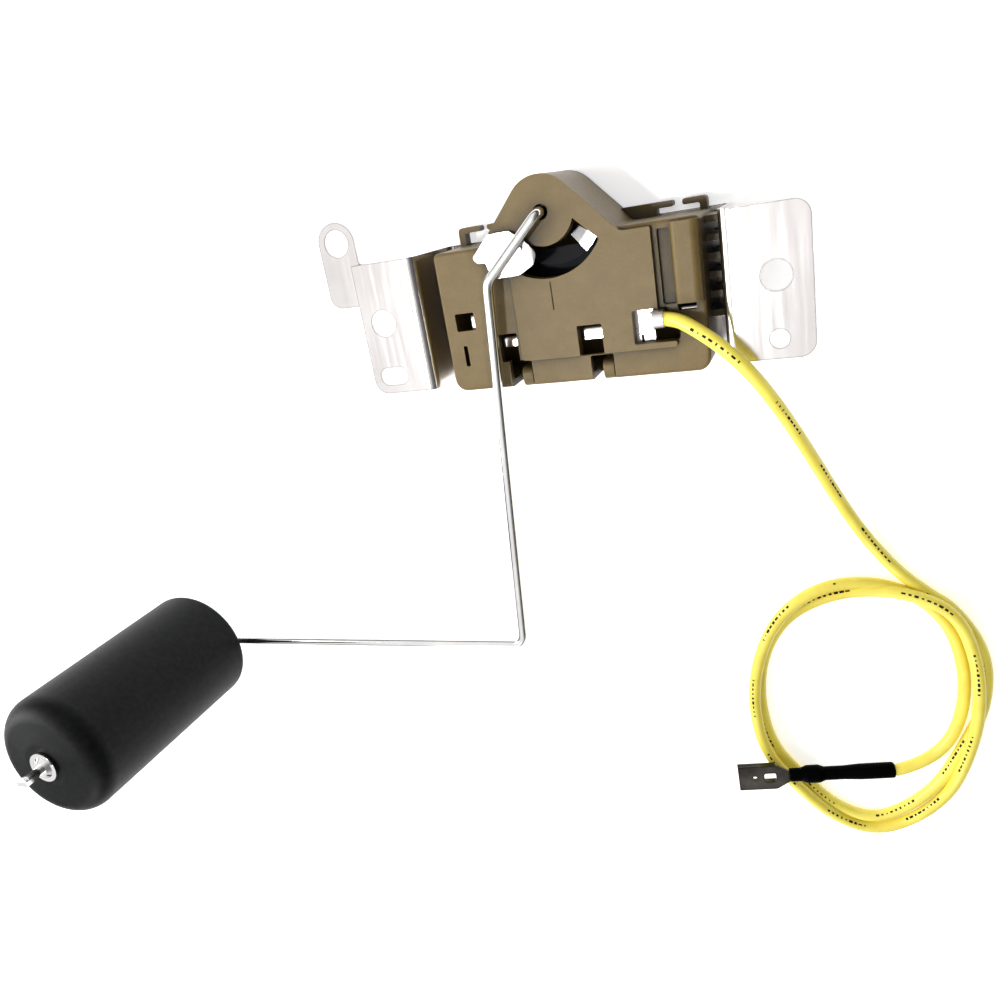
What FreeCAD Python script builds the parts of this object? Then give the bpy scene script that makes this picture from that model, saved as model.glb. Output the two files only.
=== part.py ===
import FreeCAD, Part
import math

# Fuel level sender: a folded steel bracket, a moulded sensor housing, a wire arm with a float, and a lead.
# X runs along the bracket, Y up the housing, Z out of the front. Lengths are in millimetres.
# The origin is midway between the two screw holes, on the back face of the bracket.

SIZES = {
    "plate": 1.2, "bend_inside": 1.0, "bracket_depth": 23.0, "channel_half": 34.6,
    "bracket_top": 13.9, "bracket_bottom": 16.7, "wing_corner": 3.2,
    "screw_pitch": 88.0, "screw_hole": 6.2, "left_margin": 5.5, "right_margin": 7.0,
    "lower_row": 12.6, "slot_length": 7.1, "slot_width": 4.1, "small_hole": 3.9,
    "ear_drop": 4.0, "ear_reach": 10.8, "ear_rise": 19.2, "ear_radius": 4.8, "ear_foot": 4.2,
    "housing_left": 29.1, "housing_right": 30.0, "housing_top": 13.6, "housing_bottom": 18.0,
    "housing_corner": 2.8, "wall": 1.6, "panel_rise": 1.2, "panel_left": 11.1, "panel_bottom": 12.1,
    "panel_right": 20.2, "panel_top": 12.8, "shoulder_drop": 5.0, "lip_right": 23.6, "lip_top": 10.8,
    "carrier_thick": 3.0, "pivot_x": -2.2, "pivot_y": 18.9,
    "apex_shift": -0.18, "apex_rise": 11.28, "apex_radius": 7.6, "left_run": 14.5, "right_run": 15.6,
    "window_radius": 13.7, "hub_ring": 7.0, "pivot_hole": 1.6, "column_left": 23.9, "column_wide": 5.9,
    "column_top": 13.0, "column_bottom": 3.3, "column_rise": 1.9, "column_round": 1.7,
    "groove_wide": 2.6, "rib_height": 10.0, "hook_wide": 2.4,
    "wire_radius": 1.15, "running_gap": 0.05, "hub_radius": 3.2, "hub_gap": 0.1, "loose_gap": 0.3,
    "boss_height": 3.8, "boss_radius": 3.7, "hub_collar": 0.5, "rotor_plate": 1.0, "rotor_lift": 0.4,
    "sector_radius": 12.1, "sector_plate": 0.6, "sector_drop": 6.0,
    "card_drop": 8.2, "card_thick": 0.8, "card_left": 16.0, "card_right": 13.0,
    "card_low": 1.0, "card_high": 11.0, "post_radius": 1.6, "post_inset": 2.2, "rivet_radius": 0.7,
    "rivet_head": 1.4, "rivet_head_thick": 0.5, "strap_thick": 0.3, "button_radius": 0.7,
    "elbow_x": -13.2, "elbow_y": -12.6, "elbow_lift": 2.9, "corner_x": -20.5, "corner_y": -103.6,
    "corner_lift": 0.5, "rod_x": -130.6, "rod_y": -109.7, "rod_lift": -6.0,
    "float_radius": 16.9, "float_length": 60.0, "float_round": 5.2, "float_dome": 1.2,
    "nut_radius": 4.1, "nut_thick": 0.6, "nut_cone": 0.9, "tip_length": 5.4, "tip_wide": 3.2,
    "lead_radius": 1.5, "lead_exit_x": 19.4, "lead_exit_y": -5.9, "lead_exit_lift": 0.45,
    "barrel_wall": 0.45, "barrel_length": 2.3, "lug_thick": 0.6, "lug_long": 7.2,
    "coil_x": 58.4, "coil_y": -112.7, "coil_half_x": 28.4, "coil_half_y": 37.7,
    "coil_hole_x": 56.3, "coil_hole_half_x": 21.7, "coil_hole_half_y": 30.0, "coil_height": 6.2,
    "sleeve_radius": 2.0, "sleeve_neck": 1.75, "sleeve_bump": 2.3, "blade_wide": 7.2,
    "blade_long": 13.0, "blade_thick": 0.8, "rail_radius": 1.1, "throat": 3.4,
    "clip_thick": 1.3, "clip_post": 1.6,
    "left_clip_top": 17.7, "right_clip_top": 16.4,
}

doc = FreeCAD.newDocument("fuel_level_sender")
sheet = doc.addObject("Spreadsheet::Sheet", "sizes")
for row, (word, value) in enumerate(SIZES.items(), 1):
    sheet.set(f"A{row}", word)
    sheet.set(f"B{row}", str(value))
    sheet.setAlias(f"B{row}", word)
doc.recompute()


def size(word):
    return float(sheet.get(word))


# Levels and places that several pieces share
plate = size("plate")
depth = size("bracket_depth")
base_face = depth - size("panel_rise")
inner_face = base_face - size("wall")
carrier_top = plate + size("carrier_thick")
boss_top = carrier_top + size("boss_height")
pivot_x = size("pivot_x")
pivot_y = size("pivot_y")
wing_left = -size("screw_pitch") / 2 - size("left_margin")
wing_right = size("screw_pitch") / 2 + size("right_margin")
wire = size("wire_radius")
rotor_top = depth + size("rotor_lift") + size("rotor_plate")
card_top = depth - size("card_drop")
card_back = card_top - size("card_thick")
lead = size("lead_radius")
parts = []


def turned(x, y, degrees):
    angle = math.radians(degrees)
    return x * math.cos(angle) - y * math.sin(angle), x * math.sin(angle) + y * math.cos(angle)


def from_pivot(radius, degrees):
    x, y = turned(radius, 0, degrees)
    return pivot_x + x, pivot_y + y


def rounded_loop(corners):
    """Lines and arcs of a closed outline, from corners given as (x, y, radius)."""
    cuts = []
    count = len(corners)
    for index, (x, y, radius) in enumerate(corners):
        here = FreeCAD.Vector(x, y, 0)
        back = FreeCAD.Vector(*corners[index - 1][:2], 0) - here
        ahead = FreeCAD.Vector(*corners[(index + 1) % count][:2], 0) - here
        back.normalize()
        ahead.normalize()
        half_turn = back.getAngle(ahead) / 2
        if radius <= 0:
            cuts.append((here, None, here))
            continue
        reach = radius / math.tan(half_turn)
        middle = back + ahead
        middle.normalize()
        centre = here + middle * (radius / math.sin(half_turn))
        cuts.append((here + back * reach, centre - middle * radius, here + ahead * reach))
    edges = []
    for index, (start, mid, end) in enumerate(cuts):
        if mid is not None:
            edges.append(Part.Arc(start, mid, end))
        following = cuts[(index + 1) % count][0]
        if (following - end).Length > 1e-6:
            edges.append(Part.LineSegment(end, following))
    return edges


def inset_loop(corners, distance):
    """The same outline moved inwards, for corners that run anticlockwise."""
    count = len(corners)
    lines = []
    for index in range(count):
        x0, y0, _ = corners[index]
        x1, y1, _ = corners[(index + 1) % count]
        length = math.hypot(x1 - x0, y1 - y0)
        along = ((x1 - x0) / length, (y1 - y0) / length)
        lines.append(((x0 - along[1] * distance, y0 + along[0] * distance), along))
    moved = []
    for index in range(count):
        (ax, ay), (ux, uy) = lines[index - 1]
        (bx, by), (vx, vy) = lines[index]
        cross = ux * vy - uy * vx
        step = ((bx - ax) * vy - (by - ay) * vx) / cross
        radius = corners[index][2] + (distance if cross < 0 else -distance)
        moved.append((ax + ux * step, ay + uy * step, max(radius, 0.2)))
    return moved


def box_loop(x0, y0, x1, y1, radius=0.0):
    return rounded_loop([(x0, y0, radius), (x1, y0, radius), (x1, y1, radius), (x0, y1, radius)])


def round_hole(x, y, radius):
    return [Part.Circle(FreeCAD.Vector(x, y, 0), FreeCAD.Vector(0, 0, 1), radius)]


def new_body(name):
    body = doc.addObject("PartDesign::Body", name)
    body.Label = name
    parts.append(body)
    return body


def sketch_on(body, role, lift, loops):
    """A sketch on one of the body's own planes, moved along the plane's normal by lift."""
    plane = next(item for item in body.Origin.OriginFeatures if item.Role == role)
    sketch = body.newObject("Sketcher::SketchObject", body.Label + "_sketch")
    sketch.AttachmentSupport = (plane, [""])
    sketch.MapMode = "FlatFace"
    sketch.setExpression("AttachmentOffset.Base.z", lift)
    for loop in loops:
        sketch.addGeometry(loop, False)
    return sketch


def pad(body, role, lift, length, loops):
    sketch = sketch_on(body, role, lift, loops)
    feature = body.newObject("PartDesign::Pad", body.Label + "_pad")
    feature.Profile = sketch
    feature.setExpression("Length", length)
    doc.recompute()
    return feature


def pocket(body, role, lift, length, loops, upwards=False):
    """A cut that goes against the plane's normal, or along it when upwards is set."""
    sketch = sketch_on(body, role, lift, loops)
    before = body.Shape.Volume
    feature = body.newObject("PartDesign::Pocket", body.Label + "_pocket")
    feature.Profile = sketch
    feature.Reversed = upwards
    feature.setExpression("Length", length)
    doc.recompute()
    if body.Shape.Volume > before - 1e-3:
        raise ValueError("a pocket of " + body.Label + " cuts nothing")
    return feature


def round_edges(body, radius, chosen):
    """Fillet of the edges of the body's last feature that the test picks."""
    base = body.Tip
    names = ["Edge%d" % (n + 1) for n, edge in enumerate(base.Shape.Edges) if chosen(edge)]
    feature = body.newObject("PartDesign::Fillet", body.Label + "_fillet")
    feature.Base = (base, names)
    feature.setExpression("Radius", radius)
    doc.recompute()
    return feature


def plain_feature(name, shape):
    feature = doc.addObject("Part::Feature", name)
    feature.Label = name
    feature.Shape = shape
    feature.Placement = FreeCAD.Placement()
    parts.append(feature)
    return feature


def tube(points, radii, section):
    """A round bar along straight runs joined by tangent arcs of the given radii."""
    edges = []
    start = points[0]
    for index in range(1, len(points) - 1):
        here = points[index]
        back = points[index - 1] - here
        ahead = points[index + 1] - here
        back.normalize()
        ahead.normalize()
        half_turn = back.getAngle(ahead) / 2
        reach = radii[index - 1] / math.tan(half_turn)
        middle = back + ahead
        middle.normalize()
        mid = here + middle * (radii[index - 1] / math.sin(half_turn) - radii[index - 1])
        entry = here + back * reach
        leave = here + ahead * reach
        edges.append(Part.LineSegment(start, entry).toShape())
        edges.append(Part.Arc(entry, mid, leave).toShape())
        start = leave
    edges.append(Part.LineSegment(start, points[-1]).toShape())
    path = Part.Wire(edges)
    heading = points[1] - points[0]
    ring = Part.Wire(Part.Circle(points[0], heading, section).toShape())
    bar = path.makePipeShell([ring], True, False)
    expected = math.pi * section ** 2 * path.Length
    if abs(bar.Volume / expected - 1) > 0.01:
        raise ValueError("a tube's volume is not its section times its length")
    return bar, path.Length


# Left edge, width, place of the leg and reach of the lip of each tongue
tongue_top = inner_face - size("loose_gap")
tongues = ((-23.1, 4.4, -1.5, 2.5), (-16.0, 3.8, -7.3, 1.7), (2.8, 4.8, -7.1, 2.1), (24.6, 3.2, -4.9, 1.0))


# Bracket: one folded strip with two wings, a stepped ear and four tongues that hold the housing
def make_bracket():
    body = new_body("mounting_bracket")
    half = size("channel_half")
    inside = size("bend_inside")
    outside = inside + plate
    profile = [
        (wing_left, depth - plate, 0), (-half, depth - plate, inside), (-half, 0, outside),
        (half, 0, outside), (half, depth - plate, inside), (wing_right, depth - plate, 0),
        (wing_right, depth, 0), (half - plate, depth, outside), (half - plate, plate, inside),
        (-half + plate, plate, inside), (-half + plate, depth, outside), (wing_left, depth, 0),
    ]
    pad(body, "XZ_Plane", "-sizes.bracket_top", "sizes.bracket_top + sizes.bracket_bottom",
        [rounded_loop(profile)])
    top = size("bracket_top")

    def wing_corner(edge):
        box = edge.BoundBox
        upright = box.XLength < 1e-6 and box.YLength < 1e-6
        outer_right = abs(box.XMax - wing_right) < 1e-6
        outer_left = abs(box.XMin - wing_left) < 1e-6 and box.YMin < 0
        return upright and (outer_right or outer_left)

    round_edges(body, "sizes.wing_corner", wing_corner)
    ear_x = wing_left - size("ear_reach") / 2 + size("plate") / 2
    end = size("ear_radius")
    high = size("ear_rise") + end
    step = wing_left + plate
    ear = [
        (ear_x - end, size("ear_foot"), 3.0), (step, size("ear_foot"), 0), (step, top, 0),
        (ear_x + end, top, 0.6), (ear_x + end, high, end * 0.999), (ear_x - end, high, end * 0.999),
    ]
    ear_back = "sizes.bracket_depth - sizes.ear_drop - sizes.plate"
    pad(body, "XY_Plane", ear_back, "sizes.plate", [rounded_loop(ear)])
    pad(body, "XY_Plane", ear_back, "sizes.ear_drop + sizes.plate",
        [box_loop(wing_left, size("ear_foot"), step, top)])
    left = -size("screw_pitch") / 2
    right = size("screw_pitch") / 2
    low = -size("lower_row")
    slot_half = size("slot_length") / 2
    slot_wide = size("slot_width") / 2
    cuts = [
        round_hole(left, 0, size("screw_hole") / 2),
        round_hole(right, 0, size("screw_hole") / 2),
        round_hole(right, low, size("small_hole") / 2),
        round_hole(ear_x, size("ear_rise"), size("screw_hole") / 2),
        box_loop(left - slot_half, low - slot_wide, left + slot_half, low + slot_wide, slot_wide * 0.999),
    ]
    pocket(body, "XY_Plane", "sizes.bracket_depth + 1", "sizes.ear_drop + 3 * sizes.plate + 1", cuts)
    for x, wide, y, reach in tongues:
        lip = [
            (y, 0, 0), (y + plate, 0, 0), (y + plate, tongue_top, 1.4), (y - reach, tongue_top, 0),
            (y - reach, tongue_top - plate, 0), (y, tongue_top - plate, 0.3),
        ]
        pad(body, "YZ_Plane", str(x), str(wide), [rounded_loop(lip)])


# Corners of the openings of the housing front that the tongues stand behind, and the slit's
windows = (
    (-26.2, -4.1, -21.6, -0.1), (-16.4, -12.1, -12.1, -5.8), (2.3, -12.3, 7.8, -5.6),
    (24.2, -4.9, 28.0, -3.5), (-25.4, -12.2, -24.4, -7.5),
)


# Housing: a shell open at the back, with a gable over the pivot and a raised front panel
def housing_corners():
    top = size("housing_top")
    apex_x = pivot_x + size("apex_shift")
    apex_y = pivot_y + size("apex_rise")
    corner = size("housing_corner")
    return [
        (-size("housing_left"), -size("housing_bottom"), corner),
        (size("housing_right"), -size("housing_bottom"), corner),
        (size("housing_right"), top, 1.2), (apex_x + size("right_run"), top, 1.5),
        (apex_x, apex_y, size("apex_radius")), (apex_x - size("left_run"), top, 1.5),
        (-size("housing_left"), top, 1.2),
    ]


def panel_corners():
    corners = housing_corners()
    left = -size("panel_left")
    right = size("panel_right")
    low = -size("panel_bottom")
    top = size("panel_top")
    lip = size("lip_top")
    slope = (corners[4][1] - corners[3][1]) / (corners[3][0] - corners[4][0])
    foot_right = corners[3][0] + (corners[3][1] - top) / slope
    return [
        (left, low, 0.8), (size("lip_right"), low, 0.7), (size("lip_right"), -lip, 0.5), (right, -lip, 0.3),
        (right, top, 0.4), (foot_right, top, 1.5), corners[4], (corners[5][0], corners[5][1], 0.3),
        (left, top - size("shoulder_drop"), 0.8),
    ]


# Angles from the pivot at which the arc window ends
left_end, outer_right_end, inner_right_end = -138.0, -31.0, -18.0


def arc_window():
    """Opening below the pivot: two arcs about the pivot, closed by straight ends."""
    arcs = []
    ends = []
    for radius, right_end in ((size("window_radius"), outer_right_end), (size("hub_ring"), inner_right_end)):
        middle = (right_end + left_end) / 2
        places = [FreeCAD.Vector(*from_pivot(radius, angle), 0) for angle in (right_end, middle, left_end)]
        arcs.append(Part.Arc(*places))
        ends.append((places[0], places[2]))
    return arcs + [Part.LineSegment(ends[0][0], ends[1][0]), Part.LineSegment(ends[0][1], ends[1][1])]


# Left edge, right edge and upper end of the two notches in the lower wall, and how deep they go
notches = ((-14.8, -9.5, -12.0), (4.2, 9.4, -12.5))
notch_deep = 10.2
mould_line = (-2.3, -1.5, -2.0, 4.5)
lead_opening = [
    (14.6, -10.9, 0.4), (24.2, -10.9, 0.8), (24.2, -8.3, 0.6), (21.9, -8.3, 0.4), (21.9, -3.8, 0.4),
    (14.6, -3.8, 0.4),
]
# Locating ribs on the right side: their heights up the wall, and half of their thickness
rib_places = (-7.4, -3.4, 0.6, 4.4, 8.2, 12.0)
rib_half = 0.7


def make_housing():
    body = new_body("sensor_housing")
    corners = housing_corners()
    foot = "sizes.plate + sizes.carrier_thick"
    height = "sizes.bracket_depth - sizes.panel_rise - sizes.plate - sizes.carrier_thick"
    pad(body, "XY_Plane", foot, height, [rounded_loop(corners)])

    def rim(edge):
        box = edge.BoundBox
        return abs(box.ZMin - base_face) < 1e-6 and abs(box.ZMax - base_face) < 1e-6

    round_edges(body, "sizes.panel_rise * 0.6", rim)
    pad(body, "XY_Plane", "sizes.bracket_depth - 2 * sizes.panel_rise", "2 * sizes.panel_rise",
        [rounded_loop(panel_corners())])
    left = size("column_left")
    right = left + size("column_wide")
    round_top = size("column_round")
    crown = base_face + size("column_rise")
    column = [
        (left, inner_face, 0), (right, inner_face, 0), (right, crown, round_top), (left, crown, round_top),
    ]
    pad(body, "XZ_Plane", "-sizes.column_top", "sizes.column_top + sizes.column_bottom",
        [rounded_loop(column)])
    pocket(body, "XY_Plane", foot, height + " - sizes.wall", [rounded_loop(inset_loop(corners, size("wall")))],
           upwards=True)
    holes = [box_loop(*window, 0.3) for window in windows]
    holes += [rounded_loop(lead_opening), arc_window(), round_hole(pivot_x, pivot_y, size("pivot_hole"))]
    pocket(body, "XY_Plane", "sizes.bracket_depth + 2", "2 + sizes.panel_rise + sizes.wall + 0.4", holes)
    groove_left = left - size("groove_wide")
    groove = box_loop(groove_left, -size("column_bottom"), left, size("column_top") - 1.0, 0.4)
    pocket(body, "XY_Plane", "sizes.bracket_depth + 2", "2 + sizes.panel_rise + 0.6 * sizes.wall", [groove])
    pocket(body, "XY_Plane", "sizes.bracket_depth + 1", "1.2", [box_loop(*mould_line)])
    cuts = []
    for x0, x1, y in notches:
        cuts.append(box_loop(x0, -size("housing_bottom") - 1, x1, y, 0.4))
    pocket(body, "XY_Plane", "sizes.bracket_depth + 2", str(2 + notch_deep), cuts)
    side = size("housing_right")
    wall_inside = size("channel_half") - plate
    for y in rib_places:
        rib = box_loop(side - 1.0, y - rib_half, wall_inside - size("loose_gap"), y + rib_half)
        pad(body, "XY_Plane", foot, "sizes.rib_height", [rib])


# Carrier: moulded plate behind the housing, with the pivot boss, card posts, snap hooks and cable clips
card_posts = (
    (-size("card_left") + size("post_inset"), size("card_low") + size("post_inset")),
    (size("card_right") - size("post_inset"), size("card_low") + size("post_inset")),
    (-size("card_left") + size("post_inset"), size("card_high") - size("post_inset")),
    (size("card_right") - size("post_inset"), size("card_high") - size("post_inset")),
)
rivet_hole = size("rivet_radius") + size("running_gap")


def make_carrier():
    body = new_body("rear_carrier")
    pad(body, "XY_Plane", "sizes.plate", "sizes.carrier_thick", [rounded_loop(housing_corners())])
    low = plate + size("carrier_thick") / 2
    middle = "sizes.plate + sizes.carrier_thick / 2"
    posts = [round_hole(x, y, size("post_radius")) for x, y in card_posts]
    pad(body, "XY_Plane", middle, str(card_back - low), posts)
    pad(body, "XY_Plane", middle, "sizes.carrier_thick / 2 + sizes.boss_height",
        [round_hole(pivot_x, pivot_y, size("boss_radius"))])
    pad(body, "XY_Plane", middle, str(lug_bottom - low),
        [round_hole(lug_left + 2 * size("post_radius"), lug_y, size("post_radius"))])
    gap = size("loose_gap")
    hook_wide = size("hook_wide")
    hook_out = -size("housing_bottom") - gap
    hook_in = hook_out + size("wall") + 0.5
    ledge = depth - notch_deep + gap
    crown = base_face - gap
    hook = [
        (hook_in, low, 0), (hook_in, ledge, 0), (hook_out, ledge, 0.3), (hook_out, crown, 2.0),
        (hook_in + hook_wide, crown, 1.6), (hook_in + hook_wide, low, 0),
    ]
    for _, right_side, _ in notches:
        start = str(right_side - gap - hook_wide)
        pad(body, "YZ_Plane", start, "sizes.hook_wide", [rounded_loop(hook[::-1])])
    thick = size("clip_thick")
    post = size("clip_post")
    top = size("housing_top") - 0.8
    right = size("housing_right") - 0.5
    left = -size("housing_left") - 0.1
    outer = size("right_clip_top")
    under = outer - thick
    rails = [
        [(right - post, top, 0), (right, top, 0), (right, outer, 0.9), (24.2, outer, 0.5),
         (24.2, under, 0.5), (right - post, under, 0.4)],
        [(8.0, top, 0), (18.6, top, 0), (18.6, under, 0.3), (22.2, under, 0.5), (22.2, outer, 0.5),
         (8.0, outer, 0)],
    ]
    outer = size("left_clip_top")
    under = outer - thick
    rails += [
        [(left, top, 0), (left + post, top, 0), (left + post, under, 0.4), (-23.6, under, 0.5),
         (-23.6, outer, 0.5), (left, outer, 0.9)],
        [(-18.8, top, 0), (-11.5, top, 0), (-11.5, outer, 0), (-21.8, outer, 0.5), (-21.8, under, 0.5),
         (-18.8, under, 0.3)],
    ]
    for rail in rails:
        pad(body, "XY_Plane", "sizes.plate", "sizes.carrier_thick", [rounded_loop(rail)])
    slots = []
    for x, wide, y, reach in tongues:
        slots.append(box_loop(x - gap, y - reach - gap, x + wide + gap, y + plate + gap, 0.3))
    pocket(body, "XY_Plane", "sizes.plate + sizes.carrier_thick + 1", "sizes.carrier_thick + 2", slots)
    bores = [round_hole(x, y, rivet_hole) for x, y in card_posts[:2]]
    pocket(body, "XY_Plane", "sizes.bracket_depth", "sizes.card_drop + sizes.card_thick + 4", bores)
    bore = [round_hole(pivot_x, pivot_y, wire + size("running_gap"))]
    pocket(body, "XY_Plane", "sizes.bracket_depth", str(depth - carrier_top), bore)


# Resistor card: ceramic plate on four posts, held by two rivets
def make_card():
    body = new_body("resistor_card")
    outline = box_loop(-size("card_left"), size("card_low"), size("card_right"), size("card_high"), 0.5)
    holes = [round_hole(x, y, rivet_hole) for x, y in card_posts[:2]]
    pad(body, "XY_Plane", "sizes.bracket_depth - sizes.card_drop - sizes.card_thick", "sizes.card_thick",
        [outline] + holes)


def make_rivets():
    base = FreeCAD.Vector(0, 0, card_back - 3.0)
    shank = card_top + size("strap_thick") - base.z
    solids = []
    for x, y in card_posts[:2]:
        pin = Part.makeCylinder(size("rivet_radius"), shank, FreeCAD.Vector(x, y, base.z))
        head = Part.makeCylinder(size("rivet_head"), size("rivet_head_thick"),
                                 FreeCAD.Vector(x, y, card_top + size("strap_thick")))
        solids.append(pin.fuse(head).removeSplitter().Solids[0])
    plain_feature("card_rivets", Part.makeCompound(solids))


def make_ground_strap():
    body = new_body("ground_strap")
    x, y = card_posts[0]
    tongue_x, _, tongue_y, _ = tongues[0]
    touch = tongue_y + plate + size("running_gap")
    left = tongue_x + 0.8
    outline = [
        (left, touch, 0), (left + 1.8, touch, 0), (left + 1.8, y - 1.2, 0.4), (x + 1.6, y - 1.2, 0.8),
        (x + 1.6, y + 1.2, 0.8), (left, y + 1.2, 0.8),
    ]
    pad(body, "XY_Plane", "sizes.bracket_depth - sizes.card_drop", "sizes.strap_thick",
        [rounded_loop(outline), round_hole(x, y, rivet_hole)])


# Signal lug: strip from the card's right rivet up to the crimp barrel of the lead
lug_left = 11.4
lug_y = size("lead_exit_y")
lug_foot = -10.8
lug_head = -4.0
lug_fork = (15.5, 16.2)
lug_bottom = inner_face - 0.1 - size("lug_thick")
barrel_axis = depth + size("lead_exit_lift")


def make_signal_lug():
    body = new_body("signal_lug")
    x, y = card_posts[1]
    low = str(lug_bottom)
    left = x - 1.5
    right = x + 1.6
    strip = [(left, lug_foot, 0.3), (right, lug_foot, 0.3), (right, y + 1.4, 0.9), (left, y + 1.4, 0.9)]
    pad(body, "XY_Plane", "sizes.bracket_depth - sizes.card_drop", "sizes.strap_thick",
        [rounded_loop(strip), round_hole(x, y, rivet_hole)])
    thick = size("lug_thick")
    riser = box_loop(x + 0.2, lug_foot, right, lug_foot + thick)
    pad(body, "XY_Plane", "sizes.bracket_depth - sizes.card_drop", str(lug_bottom + thick - card_top),
        [riser])
    floor = box_loop(x + 0.2, lug_foot, lug_left + size("lug_long"), lug_head, 0.3)
    pad(body, "XY_Plane", low, "sizes.lug_thick", [floor])
    fork = box_loop(lug_fork[0], lug_foot - 1.0, lug_fork[1], lug_foot + 1.5)
    pocket(body, "XY_Plane", "sizes.bracket_depth", "sizes.card_drop", [fork])
    bore = lead + 0.02
    outer = bore + size("barrel_wall")
    start = size("lead_exit_x") - 0.3
    neck = box_loop(start - 1.6, lug_y - 1.0, start + size("barrel_length") - 0.5, lug_y + 1.0)
    pad(body, "XY_Plane", low, str(barrel_axis - bore - 0.1 - lug_bottom), [neck])
    pad(body, "YZ_Plane", str(start), "sizes.barrel_length",
        [round_hole(lug_y, barrel_axis, outer), round_hole(lug_y, barrel_axis, bore)])


# Rotor: acetal hub in the pivot boss, steel plate outside that holds the wire, steel sector inside
def make_hub():
    body = new_body("rotor_hub")
    here = [round_hole(pivot_x, pivot_y, size("hub_radius"))]
    pad(body, "XY_Plane", "sizes.plate + sizes.carrier_thick + sizes.boss_height + sizes.running_gap",
        str(inner_face - size("loose_gap") - boss_top - size("running_gap")), here)
    pad(body, "XY_Plane", "sizes.bracket_depth - sizes.sector_drop - 2", "2",
        [round_hole(pivot_x, pivot_y, size("hub_radius") + size("hub_collar"))])
    pocket(body, "XY_Plane", "sizes.bracket_depth + 5", "sizes.bracket_depth + 5",
           [round_hole(pivot_x, pivot_y, wire + 0.03)])


# The rotor plate's corners from the pivot, and how far along the wire its two low ribs run
rotor_corners = (
    (-7.3, -2.7, 0.6), (-12.0, -2.8, 0.8), (-16.3, -7.2, 0.5), (-15.4, -8.4, 0.4), (-13.4, -8.6, 0.3),
    (-12.6, -12.2, 0.6), (-6.1, -12.0, 3.0), (-2.8, -10.4, 2.0), (-1.6, -8.0, 1.6), (-3.9, -5.3, 1.0),
)
rib_span = (7.8, 14.6)


def make_rotor_plate():
    body = new_body("rotor_plate")
    outline = rounded_loop([(pivot_x + x, pivot_y + y, r) for x, y, r in rotor_corners])
    pad(body, "XY_Plane", "sizes.bracket_depth + sizes.rotor_lift", "sizes.rotor_plate", [outline])
    heading = math.degrees(math.atan2(size("elbow_y"), size("elbow_x")))
    near = wire + size("running_gap")
    far = near + 0.5
    start, end = rib_span
    for side in (-1, 1):
        rib = [(start, side * near), (end, side * near), (end, side * far), (start, side * far)]
        corners = [turned(x, y, heading) for x, y in rib[::side]]
        pad(body, "XY_Plane", "sizes.bracket_depth + sizes.rotor_lift + sizes.rotor_plate / 2",
            "sizes.rotor_plate / 2 + sizes.wire_radius",
            [rounded_loop([(pivot_x + x, pivot_y + y, 0.2) for x, y in corners])])


sector_right, sector_left = -33.0, -52.0


def make_wiper_plate():
    body = new_body("wiper_plate")
    lift = "sizes.bracket_depth - sizes.sector_drop"
    bore = size("hub_radius") + 0.02
    pad(body, "XY_Plane", lift, "sizes.sector_plate",
        [round_hole(pivot_x, pivot_y, bore + size("hub_collar")), round_hole(pivot_x, pivot_y, bore)])
    middle = (sector_right + sector_left) / 2
    angles = (sector_right, middle, sector_left)
    outer = [FreeCAD.Vector(*from_pivot(size("sector_radius"), angle), 0) for angle in angles]
    inner = [FreeCAD.Vector(*from_pivot(bore + 0.2, angle), 0) for angle in angles]
    sector = [Part.Arc(*outer), Part.Arc(*inner), Part.LineSegment(outer[0], inner[0]),
              Part.LineSegment(outer[2], inner[2])]
    pad(body, "XY_Plane", lift, "sizes.sector_plate", [sector])


def make_wiper_contacts():
    middle = (sector_right + sector_left) / 2
    gap = size("hub_gap")
    height = depth - size("sector_drop") - card_top - gap
    solids = []
    for radius in (size("sector_radius") - 2.9, size("sector_radius") - 0.9):
        x, y = from_pivot(radius, middle)
        solids.append(Part.makeCylinder(size("button_radius"), height, FreeCAD.Vector(x, y, card_top + gap)))
    plain_feature("wiper_contacts", Part.makeCompound(solids))


# Arm: one bent wire from the pivot boss to the float, with a flattened end
rod_x = pivot_x + size("rod_x")
rod_y = pivot_y + size("rod_y")
rod_bend = 2.4
float_back = depth + size("rod_lift") + rod_bend + size("loose_gap")
float_front = float_back + size("float_length")
nut_seat = float_front + 0.2
wire_end = nut_seat + size("tip_length")


def make_arm():
    over_plate = rotor_top + wire + 0.03
    points = [
        FreeCAD.Vector(pivot_x, pivot_y, carrier_top + 0.3),
        FreeCAD.Vector(pivot_x, pivot_y, over_plate),
        FreeCAD.Vector(pivot_x + size("elbow_x"), pivot_y + size("elbow_y"), depth + size("elbow_lift")),
        FreeCAD.Vector(pivot_x + size("corner_x"), pivot_y + size("corner_y"), depth + size("corner_lift")),
        FreeCAD.Vector(rod_x, rod_y, depth + size("rod_lift")),
        FreeCAD.Vector(rod_x, rod_y, wire_end),
    ]
    bar, _ = tube(points, (1.6, 4.0, 3.2, rod_bend), wire)
    wide = size("tip_wide")
    tip = Part.makeBox(wide, 1.2, 2.2, FreeCAD.Vector(rod_x - wide / 2, rod_y - 0.6, wire_end - 0.6))
    plain_feature("float_arm", bar.fuse(tip).removeSplitter())


def revolve(name, centre_x, centre_y, corners):
    """A turned piece about an upright axis, from an outline given as (radius, height, rounding)."""
    body = new_body(name)
    sketch = sketch_on(body, "XZ_Plane", str(-centre_y), [rounded_loop(corners)])
    sketch.setExpression("AttachmentOffset.Base.x", str(centre_x))
    feature = body.newObject("PartDesign::Revolution", name + "_turn")
    feature.Profile = sketch
    feature.ReferenceAxis = (sketch, ["V_Axis"])
    feature.Angle = 360.0
    doc.recompute()
    return body


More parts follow.
